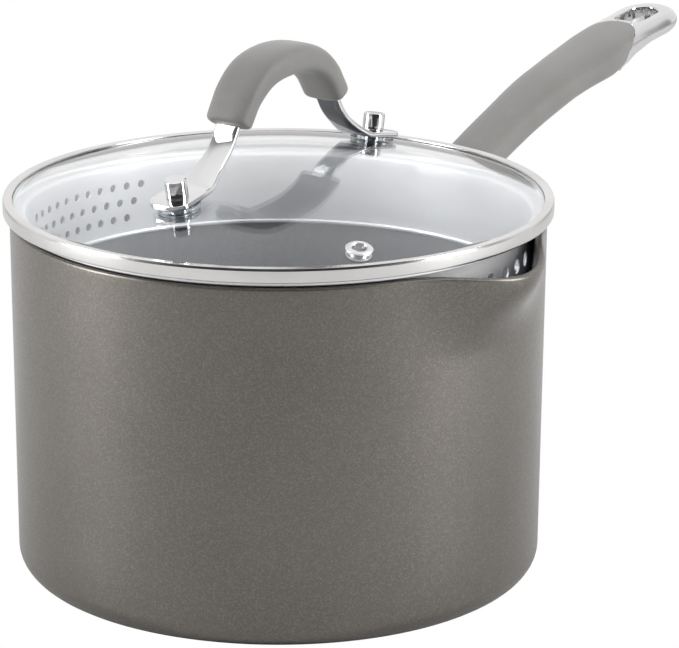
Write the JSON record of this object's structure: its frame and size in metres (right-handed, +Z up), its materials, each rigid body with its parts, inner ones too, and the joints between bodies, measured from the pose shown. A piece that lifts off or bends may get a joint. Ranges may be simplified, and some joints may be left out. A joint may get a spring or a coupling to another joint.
{
  "type": "saucepan with glass lid",
  "caption": "Deep saucepan with pour spouts, a long riveted handle with a soft grip, and a domed glass lid with a steel rim, straining band and arched handle.",
  "frame": {"origin": "centre of the pot's flat underside", "axes": "+Z up, +X along the pan handle, the two pour spouts toward +Y and -Y"},
  "size_m": [0.33, 0.2052, 0.181],
  "materials": {
    "body": "satin metallic",
    "steel": "polished",
    "band": "satin",
    "silicone": "matte",
    "glass": "clear polished",
    "clear": "translucent"
  },
  "bodies": {
    "pan": {"pot_shell": "body", "handle_core": "steel", "handle_grip": "silicone", "pan_rivet_left": "steel", "pan_rivet_right": "steel"},
    "lid_rim": {"rim_ring": "steel"},
    "lid": {"lid_glass": "glass", "straining_band": "band", "vent_eyelet": "steel", "lid_handle_strap": "steel", "lid_handle_grip": "silicone", "lid_stud_near": "steel", "lid_stud_far": "steel", "seat_washer_near": "clear", "seat_washer_far": "clear", "under_washer_near": "clear", "under_washer_far": "clear"}
  },
  "joints": [
    {"name": "lid_lift", "type": "slide", "parent": "pan", "child": "lid_rim", "axis": [0, 0, 1], "range_m": [0, 0.15]},
    {"name": "lid_turn", "type": "hinge", "parent": "lid_rim", "child": "lid", "pos_m": [0, 0, 0.127], "axis": [0, 0, 1], "continuous": true}
  ]
}
